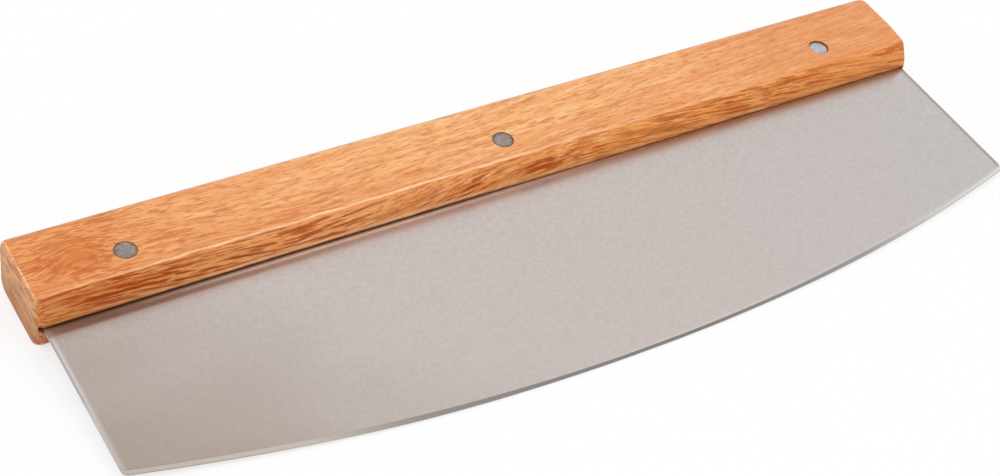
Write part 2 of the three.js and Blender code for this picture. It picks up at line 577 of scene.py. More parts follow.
@dataclass(frozen=True)
class OiledWood:
    """Orange-brown open-pored hardwood with a satin oil finish, as a solid pattern along the handle.

    Its places are in millimetres. The rings of its knot are shares of the knot's size, and the knot's push
    is for height and depth.
    """

    plane: KnifePlane
    half_length: float
    half_thickness: float
    # Colours
    pale: Colour = tone(248, 189, 126)
    # Pale streaks of the grain, and a painted highlight along the groove's lips
    pale_streak_and_lip_highlight: Colour = tone(253, 205, 160)
    ruddy: Colour = tone(232, 154, 93)
    fleck: Colour = tone(190, 94, 32)
    pore: Colour = tone(160, 62, 6)
    blade_side_tint: Colour = (1.0, 1.0, 0.98, 1.0)
    right_tint: Colour = (1.0, 0.94, 0.74, 1.0)
    # Darkening of the blade side at the left: painted shade
    left_shade_tint: Colour = (0.84, 0.83, 0.78, 1.0)
    # Painted shade on the broad sides
    broad_side_shade: Colour = (0.84, 0.78, 0.72, 1.0)
    knot_tone: Colour = tone(212, 120, 50)
    end_tone: Colour = tone(233, 176, 128)
    end_dark: Colour = tone(164, 104, 64)
    # Painted highlight along the ridge beside the crown and along the upper edges of the ends
    edge_highlight: Colour = tone(255, 212, 168)
    seat_shade: Colour = tone(104, 76, 60)
    mouth_shade: Colour = tone(122, 66, 36)
    # The knot
    knot: Triple = (-158.6, 16.6, 11.0)
    knot_size: Triple = (11.0, 7.5, 9.0)
    knot_push: Pair = (-4.0, -3.0)
    knot_arch: Step = Step.down(0.0, 1.5)
    knot_heart: Step = Step.down(0.15, 0.42, 0.85)
    knot_halo: Step = Step.down(0.4, 1.6, 0.4)
    knot_ring: Hump = Hump(0.28, 0.5, 1.0, 1.9)
    ring_flecks: float = 0.02
    ring_fine_flecks: float = 0.06
    # The run of the fibres, on the broad sides and on the crown
    sway_reach: Triple = (0.0, 7.0, 5.0)
    broad_left: Bend = Bend(75.0, 40.0, 0.05)
    broad_right: Bend = Bend(-55.0, 40.0, 0.055)
    crowned: Step = Step.down(4.25, 4.4)
    crown_left: Bend = Bend(75.0, 40.0, -0.03)
    crown_climb: Step = Step(-60.0, 14.0, 0.0, -11.0)
    crown_right: Bend = Bend(15.0, 20.0, 0.09)
    # Patterns
    sway: Pattern = Pattern((0.013, 0.03, 0.03), 1.0)
    bands: Pattern = Pattern((0.010, 0.14, 0.14), 2.0, Step.up(0.34, 0.70, 0.8))
    clusters: Pattern = Pattern((0.018, 0.12, 0.12), 1.0, Step(0.36, 0.64, 0.5, 1.0))
    soft_flecks: Pattern = Pattern((0.035, 0.4, 0.4), 2.0, Step.up(0.42, 0.66))
    streaks: Pattern = Pattern((0.06, 0.9, 0.9), 2.0, Step.up(0.49, 0.68))
    flecks: Pattern = Pattern((0.12, 0.85, 0.85), 2.0, Step.up(0.49, 0.64))
    fine_flecks: Pattern = Pattern((0.25, 1.5, 1.5), 1.0, Step.up(0.53, 0.67))
    lines: Pattern = Pattern((0.055, 1.15, 1.15), 3.0, Step.up(0.48, 0.57), 0.6)
    scuffs: Pattern = Pattern((0.09, 0.5, 0.5), 2.0)
    ridge: Pattern = Pattern((0.06, 0.0, 0.0), 2.0, Step(0.3, 0.7, 3.9, 4.4))
    growth_bands: Pattern = Pattern((0.2, 0.12, 0.55), 3.0, Step.up(0.32, 0.70, 0.9), 0.6)
    end_pores: Pattern = Pattern((1.5, 1.2, 1.7), 2.0, Step.up(0.49, 0.64, 0.65), 0.6)
    # Places along the handle
    ruddy_left: Step = Step(-178.0, -80.0, 1.0, 0.2)
    ruddy_right: Step = Step.up(50.0, 130.0, 0.95)
    pale_part: Hump = Hump(-80.0, -35.0, 20.0, 75.0, 0.6)
    shade_right: Step = Step.up(70.0, 140.0, 0.4)
    calm_right: Step = Step(70.0, 150.0, 1.0, 0.6)
    soft_share: Step = Step(-185.0, -60.0, 0.44, 0.32)
    pale_streak_share: Step = Step(-185.0, -60.0, 0.07, 0.42)
    fleck_share: Step = Step(-185.0, -60.0, 0.66, 0.46)
    fine_share: Step = Step(-185.0, -60.0, 0.70, 0.45)
    left_share: Step = Step.down(-185.0, -60.0, 0.85)
    right_share: Step = Step.up(-60.0, 40.0)
    crowded_part: Hump = Hump(-125.0, -105.0, -70.0, -40.0, 0.85)
    line_share: Step = Step(-60.0, 100.0, 0.95, 0.67)
    mouth_end: Step = Step.down(-40.0, 30.0)
    lip_highlight_start: Step = Step(-170.0, -100.0, 0.05, 0.52)
    lip_highlight_fading: Step = Step(-30.0, 30.0, 1.0, 0.25)
    ridge_highlight_start: Step = Step(-176.0, -135.0, 0.4, 1.0)
    ridge_highlight_fading: Step = Step(-10.0, 60.0, 1.0, 0.45)
    ridge_highlight_end: Step = Step.down(90.0, 135.0)
    # Heights above the crown
    blade_side: Step = Step.down(3.2, 4.8)
    broad_side: Step = Step.up(3.2, 4.8)
    shade_heights: Step = Step.down(5.0, 13.0, 0.25)
    ruddy_heights: Step = Step.down(6.0, 24.0, 0.75)
    pale_heights: Step = Step.up(7.0, 16.0)
    seat_heights: Hump = Hump(7.0, 8.0, 19.0, 20.0)
    spine_edge_shade: Step = Step.up(30.4, 32.6, 0.7)
    # Distances from the groove and from the ridge, and where the painted highlight on the ridge is broken
    # up
    mouth_width: Step = Step.down(1.5, 1.85, 0.8)
    lip_highlight_width: Hump = Hump(1.6, 2.0, 2.4, 3.4)
    ridge_highlight_width: Step = Step.down(0.15, 0.52)
    ridge_highlight_breaks: Step = Step(0.38, 0.62, 0.45, 0.8)
    # Insets from the broad sides and from the ends, and depths and breaks of the painted highlight on the
    # ends
    seat_sunk: Step = Step.up(0.1, 0.25)
    seat_inset: Step = Step.up(8.0, 12.0, 0.85)
    end_inset: Step = Step.down(0.3, 1.2)
    end_cover: float = 0.95
    end_dark_depths: Step = Step.down(-11.0, 1.0, 0.6)
    end_edge_highlight_inset: Hump = Hump(0.4, 0.8, 1.0, 1.4, 0.6)
    end_edge_highlight_depths: Step = Step.up(9.0, 10.2)
    end_edge_highlight_breaks: Step = Step(0.42, 0.58, 0.25, 1.0)
    # Surface
    roughness: Step = Step(0.0, 1.0, 0.28, 0.45)
    end_roughness: float = 0.65
    gloss: Step = Step(0.0, 1.0, 0.3, 0.1)
    soft_relief: float = 0.4
    relief: float = 0.00004

    def knot_reach(self, coat: KnifeCoat) -> Socket:
        """How far a place is from the middle of the knot, where 1 is the knot's size.

        Args:
            coat: The material's nodes.

        Returns:
            The distance.
        """
        away = coat.vector("SUBTRACT", coat.place, self.knot)
        shares = coat.vector("MULTIPLY", away, tuple(1.0 / size for size in self.knot_size))
        return coat.vector("LENGTH", shares)

    def fibre(self, coat: KnifeCoat, reach: Socket) -> Socket:
        """Places along the fibres.

        They sway slowly and arch over the knot. On the broad sides they fall away from the left end and
        rise towards the right one; on the crown they climb near the middle and sink again to the right.

        Args:
            coat: The material's nodes.
            reach: Distance from the knot.

        Returns:
            The bent place, in millimetres.
        """
        along, leftwards = coat.along, coat.product(coat.along, -1.0)
        arch = coat.step(reach, self.knot_arch)
        crowned = coat.step(coat.height, self.crowned)
        sway = coat.vector("SUBTRACT", coat.noise(coat.place, self.sway, threefold=True), (0.5, 0.5, 0.5))
        swayed = coat.vector("ADD", coat.place, coat.vector("MULTIPLY", sway, self.sway_reach))
        drift = coat.math("ADD", coat.bend(leftwards, self.broad_left), coat.bend(along, self.broad_right))
        drift = coat.product(drift, coat.math("SUBTRACT", crowned, 1.0))
        climb = coat.math("ADD", coat.step(along, self.crown_climb), coat.bend(leftwards, self.crown_left))
        climb = coat.math("ADD", climb, coat.bend(along, self.crown_right))
        climb = coat.product(climb, crowned)
        push_up = coat.plus(drift, self.knot_push[0], arch)
        push_out = coat.plus(climb, self.knot_push[1], arch)
        push = coat.node("ShaderNodeCombineXYZ", 0.0, push_up, push_out)
        return coat.vector("ADD", swayed, push.outputs[0])

    def lay_ground(self, coat: KnifeCoat, fibre: Socket) -> None:
        """Colours the wood between its pores: slow bands, ruddier towards the crown and towards both ends,
        with painted shade.

        Args:
            coat: The material's nodes.
            fibre: Place along the fibres.
        """
        along, height = coat.along, coat.height
        coat.lay(self.ruddy, coat.marks(fibre, self.bands))
        coat.lay(self.ruddy, coat.most(coat.step(height, self.ruddy_heights),
                                       coat.step(along, self.ruddy_right),
                                       coat.step(along, self.ruddy_left)))
        coat.lay(self.pale, coat.hump(along, self.pale_part), coat.step(height, self.pale_heights))
        # Painted shade: darker on the broad sides towards the right end, near the crown and at the spine
        # edge
        brown = coat.most(coat.step(along, self.shade_right), coat.step(height, self.shade_heights))
        brown = coat.product(brown, coat.step(height, self.broad_side))
        coat.darken_by(self.broad_side_shade, coat.most(brown, coat.step(height, self.spine_edge_shade)))

    def lay_grain(self, coat: KnifeCoat, fibre: Socket, reach: Socket) -> tuple[Feed, Feed, Socket]:
        """Lays soft flecks, pale streaks, pores and fine flecks, denser at the left, and the knot in them.

        Args:
            coat: The material's nodes.
            fibre: Place along the fibres.
            reach: Distance from the knot.

        Returns:
            Where the pores gather, where they are open, and the soft flecks under them.
        """
        along, calm = coat.along, coat.step(coat.along, self.calm_right)
        ring = coat.hump(reach, self.knot_ring)
        gathered = coat.most(coat.marks(fibre, self.clusters), ring)
        drawn = coat.product(gathered, calm)
        coat.lay(self.knot_tone, coat.step(reach, self.knot_halo))
        soft = coat.noise(fibre, self.soft_flecks)
        coat.lay(self.fleck, coat.step(soft, self.soft_flecks.shown), drawn,
                 coat.step(along, self.soft_share))
        streaks = coat.split(coat.noise(fibre, self.streaks, threefold=True))[1]
        coat.lay(self.pale_streak_and_lip_highlight, coat.step(streaks, self.streaks.shown), calm,
                 coat.step(along, self.pale_streak_share))
        flecks = coat.plus(coat.noise(fibre, self.flecks), self.ring_flecks, ring)
        pores = coat.product(coat.step(flecks, self.flecks.shown), drawn)
        coat.lay(self.fleck, pores, coat.step(along, self.fleck_share))
        fine = coat.plus(coat.noise(fibre, self.fine_flecks), self.ring_fine_flecks, ring)
        coat.lay(self.fleck, coat.step(fine, self.fine_flecks.shown), calm,
                 coat.step(along, self.fine_share))
        coat.lay(self.knot_tone, coat.step(reach, self.knot_heart))
        return gathered, pores, soft

    def lay_blade_side(self, coat: KnifeCoat, fibre: Socket, gathered: Feed) -> Feed:
        """Browns the blade side, darker at the left as painted shade, and opens long dark lines on it,
        which crowd together left of the middle.

        Args:
            coat: The material's nodes.
            fibre: Place along the fibres.
            gathered: Where the pores gather.

        Returns:
            Where the lines are open.
        """
        along, blade_side = coat.along, coat.step(coat.height, self.blade_side)
        tint = coat.blend(coat.step(along, self.right_share), self.blade_side_tint, self.right_tint)
        coat.darken_by(tint, blade_side)
        # Painted shade: the blade side darker at the left
        coat.darken_by(self.left_shade_tint, blade_side, coat.step(along, self.left_share))
        crowded = coat.hump(along, self.crowded_part)
        lines = coat.product(coat.marks(fibre, self.lines), coat.most(gathered, crowded), blade_side)
        coat.lay(self.pore, lines, coat.step(along, self.line_share))
        return lines

    def lay_painted_light(self, coat: KnifeCoat, scuffs: Socket) -> None:
        """Shades the groove's mouth at the left, and paints highlights on its lips and along the ridge
        beside the crown.

        Args:
            coat: The material's nodes.
            scuffs: Noise that breaks the painted ridge highlight up.
        """
        along, blade_side = coat.along, coat.step(coat.height, self.blade_side)
        from_groove = coat.math("ABSOLUTE", coat.depth)
        # Painted shade in the groove's mouth on the blade side, at the left
        coat.lay(self.mouth_shade, coat.step(from_groove, self.mouth_width), blade_side,
                 coat.step(along, self.mouth_end))
        # Painted highlight along the groove's lips on the blade side
        coat.lay(self.pale_streak_and_lip_highlight, coat.hump(from_groove, self.lip_highlight_width), blade_side,
                 coat.step(along, self.lip_highlight_start), coat.step(along, self.lip_highlight_fading))
        # Painted highlight along the ridge, wandering a little and broken up by noise
        ridge = coat.marks(coat.place, self.ridge)
        from_ridge = coat.math("ABSOLUTE", coat.math("SUBTRACT", coat.height, ridge))
        coat.lay(self.edge_highlight, coat.step(from_ridge, self.ridge_highlight_width),
                 coat.step(scuffs, self.ridge_highlight_breaks), coat.step(along, self.ridge_highlight_start),
                 coat.step(along, self.ridge_highlight_fading), coat.step(along, self.ridge_highlight_end))

    def end_grain(self, coat: KnifeCoat) -> Socket:
        """The sawn ends: soft growth bands, open pores as dots, and a darker lower half.

        Args:
            coat: The material's nodes.

        Returns:
            The colour.
        """
        grain = coat.blend(coat.marks(coat.place, self.growth_bands), self.end_tone, self.end_dark)
        grain = coat.blend(coat.marks(coat.place, self.end_pores), grain, self.end_dark)
        return coat.blend(coat.step(coat.depth, self.end_dark_depths), grain, self.end_dark)

    def lay_ends(self, coat: KnifeCoat, scuffs: Socket) -> Socket:
        """Shades the rivets' seats and lays the end grain with a painted highlight along its upper edges.

        Args:
            coat: The material's nodes.
            scuffs: Noise that breaks the painted highlight up.

        Returns:
            One on the sawn ends, and zero elsewhere.
        """
        inset = coat.math("SUBTRACT", self.half_length, coat.math("ABSOLUTE", coat.along))
        sunk = coat.math("SUBTRACT", self.half_thickness, coat.math("ABSOLUTE", coat.depth))
        coat.lay(self.seat_shade, coat.step(sunk, self.seat_sunk),
                 coat.hump(coat.height, self.seat_heights), coat.step(inset, self.seat_inset))
        end = coat.step(inset, self.end_inset)
        coat.lay(self.end_grain(coat), end, self.end_cover)
        # Painted highlight along the upper edges of the ends
        coat.lay(self.edge_highlight, coat.hump(inset, self.end_edge_highlight_inset),
                 coat.step(coat.depth, self.end_edge_highlight_depths), coat.step(scuffs, self.end_edge_highlight_breaks))
        return end

    def make(self) -> Material:
        """Builds the material in layers, sunk and rougher where its pores are open.

        Returns:
            The material.
        """
        coat = KnifeCoat("oiled_wood", self.plane, self.pale)
        reach = self.knot_reach(coat)
        fibre = self.fibre(coat, reach)
        scuffs = coat.noise(coat.place, self.scuffs)
        self.lay_ground(coat, fibre)
        gathered, pores, soft = self.lay_grain(coat, fibre, reach)
        lines = self.lay_blade_side(coat, fibre, gathered)
        self.lay_painted_light(coat, scuffs)
        end = self.lay_ends(coat, scuffs)
        pores = coat.most(pores, lines)
        raised = coat.math("SUBTRACT", coat.product(soft, self.soft_relief), pores)
        roughness = coat.most(coat.step(pores, self.roughness), coat.product(end, self.end_roughness))
        gloss = coat.step(coat.step(coat.height, self.blade_side), self.gloss)
        normal = coat.bump(raised, self.relief)
        return coat.finish(roughness=roughness, specular_ior_level=gloss, normal=normal)


@dataclass(frozen=True)
class SatinSteel:
    """Satin rolled sheet steel: warm grey and faintly mottled, with a ground bevel along the belly.

    Its places are in millimetres: along the blade, heights above the crown of the handle, insets from the
    ends, and distances from the shoulder of the grind, which are below zero on the grind.
    """

    plane: KnifePlane
    half_length: float
    shoulder_layer: str
    # Colours
    # Tones of the face, darker at the left and lighter to the right: partly the steel's own tone, partly
    # painted reflection
    warm: Colour = tone(159, 142, 126)
    plain: Colour = tone(200, 191, 187)
    cool: Colour = tone(197, 191, 188)
    speck: Colour = tone(150, 139, 133)
    dark_bevel_line: Colour = tone(128, 118, 112)
    # Painted highlight along the left end and for the glint above the bevel
    steel_highlight: Colour = tone(214, 210, 207)
    dark_end_line: Colour = tone(154, 148, 144)
    # Painted highlight along the slot
    slot_highlight: Colour = tone(248, 240, 232)
    # Painted shadow and painted reflection of the wood beside the slot
    shadow_and_wood_reflection: Colour = (0.74, 0.50, 0.32, 1.0)
    # Painted shadow beside the handle at the left
    left_handle_shadow: Colour = (0.62, 0.53, 0.44, 1.0)
    # Tones of the bevel along the belly: painted reflection
    ground: tuple[tuple[float, Colour], ...] = (
        (-176.0, tone(188, 177, 168)),
        (-144.0, tone(195, 184, 175)),
        (-120.0, tone(194, 183, 174)),
        (-104.0, tone(174, 165, 158)),
        (-84.0, tone(150, 142, 136)),
        (-56.0, tone(140, 133, 129)),
        (-20.0, tone(132, 127, 123)),
        (24.0, tone(130, 123, 117)),
        (70.0, tone(148, 140, 137)),
        (96.0, tone(160, 152, 149)),
        (118.0, tone(188, 184, 181)),
        (140.0, tone(212, 208, 205)),
        (176.0, tone(222, 217, 213)),
    )
    # Patterns
    drift: Pattern = Pattern((0.012, 0.02, 0.0), 1.0, Step(0.3, 0.7, -15.0, 15.0))
    mottle: Pattern = Pattern((0.7, 0.7, 0.7), 3.0, Step.up(0.35, 0.7, 0.15), 0.65)
    specks: Pattern = Pattern((1.1, 1.1, 1.1), 1.0, Step.up(0.73, 0.80, 0.4))
    rolled: Pattern = Pattern((0.2, 6.0, 6.0), 2.0)
    # The face and its ends
    lean: float = 0.9
    plain_part: Step = Step(-256.0, -102.0, 0.2, 1.0)
    cool_part: Step = Step.up(40.0, 160.0)
    left_highlight_inset: Step = Step.down(0.6, 2.2, 0.75)
    left_highlight_heights: Step = Step(-62.0, -10.0, 0.5, 1.0)
    dark_end_inset: Step = Step.down(0.15, 0.6, 0.75)
    dark_end_heights: Step = Step.up(-42.0, -26.0)
    right_dark_end_inset: Step = Step.down(0.8, 2.1, 0.8)
    # The bevel, with a painted glint above its shoulder
    on_grind: Step = Step.down(-0.1, 0.05)
    dark_line_width: Step = Step.down(0.08, 0.3, 0.4)
    dark_line_fading: Step = Step(-170.0, -110.0, 1.0, 0.15)
    dark_line_end: Step = Step.down(-110.0, -80.0)
    glint_distance: float = 0.45
    glint_width: Step = Step.down(0.1, 0.45, 0.4)
    glint_start: Step = Step.up(-40.0, 10.0)
    right_tip: Step = Step.down(-1.1, -0.75, 0.3)
    right_tip_start: Step = Step.up(100.0, 125.0)
    left_tip: Step = Step.down(-1.6, -1.3, 0.5)
    left_tip_end: Step = Step.down(-140.0, -110.0)
    # The strip beside the handle: painted shadow, painted highlight and painted reflection of the wood
    slot_highlight_part: Hump = Hump(-165.0, -75.0, -60.0, 30.0)
    slot_highlight_heights: Hump = Hump(-2.1, -1.2, -0.5, 0.1, 0.8)
    slot_lit_heights: Step = Step.up(-2.6, -1.5)
    left_shadow_heights: Step = Step.up(-4.3, -3.2)
    left_shadow_start: Step = Step(-180.0, -168.0, 0.3, 1.0)
    left_shadow_fading: Step = Step(-155.0, -50.0, 1.0, 0.15)
    slot_edge: Step = Step.up(-0.7, 0.1, 0.9)
    wood_reflection_heights: Step = Step.up(-3.2, -0.7)
    wood_reflection_start: Step = Step.up(0.0, 75.0)
    # Surface
    metallic: float = 0.75
    roughness: Step = Step(0.3, 0.7, 0.21, 0.27)
    relief: float = 0.000004

    def lay_face(self, coat: KnifeCoat, mottle: Socket) -> None:
        """Colours the rolled face: warmer and darker at the left of a leaning line, cooler at the right,
        partly as painted reflection, and specked.

        Args:
            coat: The material's nodes.
            mottle: Noise of the rolled skin.
        """
        leaning = coat.plus(coat.along, self.lean, coat.height)
        leaning = coat.math("ADD", leaning, coat.marks(coat.place, self.drift))
        # Partly painted reflection: lighter to the right of a leaning line, cooler at the right end
        coat.lay(self.plain, coat.step(leaning, self.plain_part))
        coat.lay(self.cool, coat.step(coat.along, self.cool_part))
        coat.lay(self.speck, coat.step(mottle, self.mottle.shown))
        coat.lay(self.speck, coat.marks(coat.place, self.specks))

    def lay_ends(self, coat: KnifeCoat) -> None:
        """Draws a painted highlight and a darker line along the left end, and a darker line along the right
        end.

        Args:
            coat: The material's nodes.
        """
        left = coat.math("ADD", self.half_length, coat.along)
        right = coat.math("SUBTRACT", self.half_length, coat.along)
        height = coat.height
        # Painted highlight along the left end
        coat.lay(self.steel_highlight, coat.step(left, self.left_highlight_inset), coat.step(height, self.left_highlight_heights))
        coat.lay(self.dark_end_line, coat.step(left, self.dark_end_inset), coat.step(height, self.dark_end_heights))
        coat.lay(self.dark_end_line, coat.step(right, self.right_dark_end_inset))

    def lay_bevel(self, coat: KnifeCoat) -> None:
        """Colours the ground bevel with a painted reflection whose tone changes along the belly, and the
        fine lines that bound it.

        The sheet carries the distance from the shoulder of its grind as a layer of its own.

        Args:
            coat: The material's nodes.
        """
        along = coat.along
        from_shoulder = coat.node("ShaderNodeAttribute", attribute_name=self.shoulder_layer).outputs["Fac"]
        # Painted reflection on the bevel, changing along the belly
        coat.lay(coat.ramp(along, self.ground), coat.step(from_shoulder, self.on_grind))
        coat.lay(self.dark_bevel_line, coat.step(coat.math("ABSOLUTE", from_shoulder), self.dark_line_width),
                 coat.step(along, self.dark_line_fading), coat.step(along, self.dark_line_end))
        from_glint = coat.math("ABSOLUTE", coat.math("SUBTRACT", from_shoulder, self.glint_distance))
        # Painted highlight: the glint above the bevel's shoulder
        coat.lay(self.steel_highlight, coat.step(from_glint, self.glint_width), coat.step(along, self.glint_start))
        right = coat.product(coat.step(from_shoulder, self.right_tip),
                             coat.step(along, self.right_tip_start))
        left = coat.product(coat.step(from_shoulder, self.left_tip), coat.step(along, self.left_tip_end))
        coat.lay(self.dark_bevel_line, coat.math("ADD", right, left))

    def lay_strip(self, coat: KnifeCoat) -> None:
        """Colours the strip beside the handle.

        It has a painted shadow at the left, a painted highlight along the slot, and a painted shadow with a
        painted reflection of the wood along the slot's mouth and at the right.

        Args:
            coat: The material's nodes.
        """
        along, height = coat.along, coat.height
        slot_highlight = coat.hump(along, self.slot_highlight_part)
        slot_lit = coat.product(coat.step(height, self.slot_lit_heights), slot_highlight)
        # Painted shadow beside the handle, strongest at the left, kept off the painted highlight along the
        # slot
        coat.darken_by(self.left_handle_shadow, coat.step(height, self.left_shadow_heights), coat.step(along, self.left_shadow_fading),
                   coat.step(along, self.left_shadow_start), coat.math("SUBTRACT", 1.0, slot_lit))
        # Painted highlight along the slot, at the left and middle
        coat.lay(self.slot_highlight, coat.hump(height, self.slot_highlight_heights), slot_highlight)
        # Painted shadow and painted reflection of the wood: at the slot's mouth, and wider at the right
        right = coat.product(coat.step(height, self.wood_reflection_heights), coat.step(along, self.wood_reflection_start))
        coat.darken_by(self.shadow_and_wood_reflection, coat.most(coat.step(height, self.slot_edge), right))

    def make(self) -> Material:
        """Builds the material: face, ends, bevel and strip, with the fine relief of rolling.

        Returns:
            The material.
        """
        coat = KnifeCoat("satin_steel", self.plane, self.warm)
        mottle = coat.noise(coat.place, self.mottle)
        self.lay_face(coat, mottle)
        self.lay_ends(coat)
        self.lay_bevel(coat)
        self.lay_strip(coat)
        return coat.finish(metallic=self.metallic, roughness=coat.step(mottle, self.roughness),
                           normal=coat.bump(coat.noise(coat.place, self.rolled), self.relief))


@dataclass(frozen=True)
class RivetWear:
    """How one rivet has aged: its colours, how strongly each shows, and how deep it was pressed."""

    face: Colour
    patch: Colour
    rim: Colour
    rim_share: float
    speck_share: float
    sunk: float


@dataclass(frozen=True)
class DullRivet:
    """Dull, tumbled soft metal with uneven patches, brown specks and a darker rim, in millimetres."""

    plane: KnifePlane
    centre: Pair
    radius: float
    wear: RivetWear
    speck: Colour = tone(112, 84, 66)
    patches: Pattern = Pattern((0.42, 0.42, 0.42), 2.0, Step.up(0.40, 0.60))
    scuffs: Pattern = Pattern((0.95, 0.95, 0.95), 3.0, Step.up(0.54, 0.68), 0.65)
    rim_inset: Step = Step.down(-0.1, 1.2)
    rim_wander: Step = Step(0.3, 0.7, -0.45, 0.45)
    metallic: float = 1.0
    roughness: Step = Step(0.3, 0.7, 0.36, 0.52)
    relief: float = 0.00003

    def make(self, name: str) -> Material:
        """Builds the material for one rivet.

        Args:
            name: Name of the material.

        Returns:
            The material.
        """
        coat = KnifeCoat(name, self.plane, self.wear.face)
        coat.lay(self.wear.patch, coat.marks(coat.place, self.patches))
        scuffs = coat.noise(coat.place, self.scuffs)
        coat.lay(self.speck, coat.step(scuffs, self.scuffs.shown), self.wear.speck_share)
        away = coat.vector("SUBTRACT", coat.place, (*self.centre, 0.0))
        out = coat.vector("LENGTH", coat.vector("MULTIPLY", away, (1.0, 1.0, 0.0)))
        ragged = coat.math("ADD", out, coat.step(scuffs, self.rim_wander))
        inset = coat.math("SUBTRACT", self.radius, ragged)
        coat.lay(self.wear.rim, coat.step(inset, self.rim_inset), self.wear.rim_share)
        return coat.finish(metallic=self.metallic, roughness=coat.step(scuffs, self.roughness),
                           normal=coat.bump(scuffs, self.relief))


@dataclass(frozen=True)
class RivetSize:
    """Sizes of a two-piece press rivet and of its seat in the handle."""

    setback: float = 0.013
    pin_radius: float = 0.0016
    bore_radius: float = 0.0019
    sleeve_radius: float = 0.0026
    hole_radius: float = 0.0029
    head_radius: float = 0.00375
    head_thickness: float = 0.0013
    head_recess: float = 0.00025
    dish_depth: float = 0.00004
    mark_depth: float = 0.00012
    mark_radii: Pair = (0.0004, 0.0009)
    centre_radius: float = 0.00005
    seat_gap: float = 0.0001
    fit_gap: float = 0.0003
    ease: float = 0.00022
    rim_ease: float = 0.00012
    rim_points: int = 6
    face_points: int = 16
    steps: int = 96


class RivetPlace(Enum):
    """Where the rivets stand along the handle."""

    LEFT = "left"
    MIDDLE = "middle"
    RIGHT = "right"


RIVET_WEAR = {
    RivetPlace.LEFT: RivetWear(
        face=tone(166, 151, 141), patch=tone(144, 140, 138), rim=tone(118, 102, 91),
        rim_share=0.75, speck_share=0.55, sunk=0.00012),
    RivetPlace.MIDDLE: RivetWear(
        face=tone(174, 152, 144), patch=tone(156, 145, 141), rim=tone(104, 90, 81),
        rim_share=0.85, speck_share=0.3, sunk=0.0002),
    RivetPlace.RIGHT: RivetWear(
        face=tone(200, 196, 198), patch=tone(182, 184, 190), rim=tone(150, 138, 130),
        rim_share=0.7, speck_share=0.3, sunk=0.00062),
}


def turn_about(x: float, v: float, profile: Sequence[Pair], steps: int) -> np.ndarray:
    """Rings of a turned piece: each radius is swept round the axis that stands on x and v.

    Args:
        x: Place of the axis along the handle.
        v: Place of the axis across the handle.
        profile: Pairs of radius and level, from one end of the axis to the other.
        steps: Points in each ring.

    Returns:
        Array of ring, point and coordinate in the knife's own plane.
    """
    radius, level = (np.array(column)[:, None] for column in zip(*profile))
    angle = np.linspace(0.0, 2.0 * np.pi, steps, endpoint=False)[None, :]
    across = np.broadcast_to(level, (level.shape[0], steps))
    return np.stack([x + radius * np.cos(angle), v + radius * np.sin(angle), across], axis=-1)


class SubAssembly(ABC):
    """Pieces of the knife that are made and dressed together."""

    @abstractmethod
    def build(self) -> list[Item]:
        """Makes the pieces."""

    @abstractmethod
    def dress(self, pieces: list[Item]) -> None:
        """Gives the pieces their finish and puts them in place of the plain solids."""


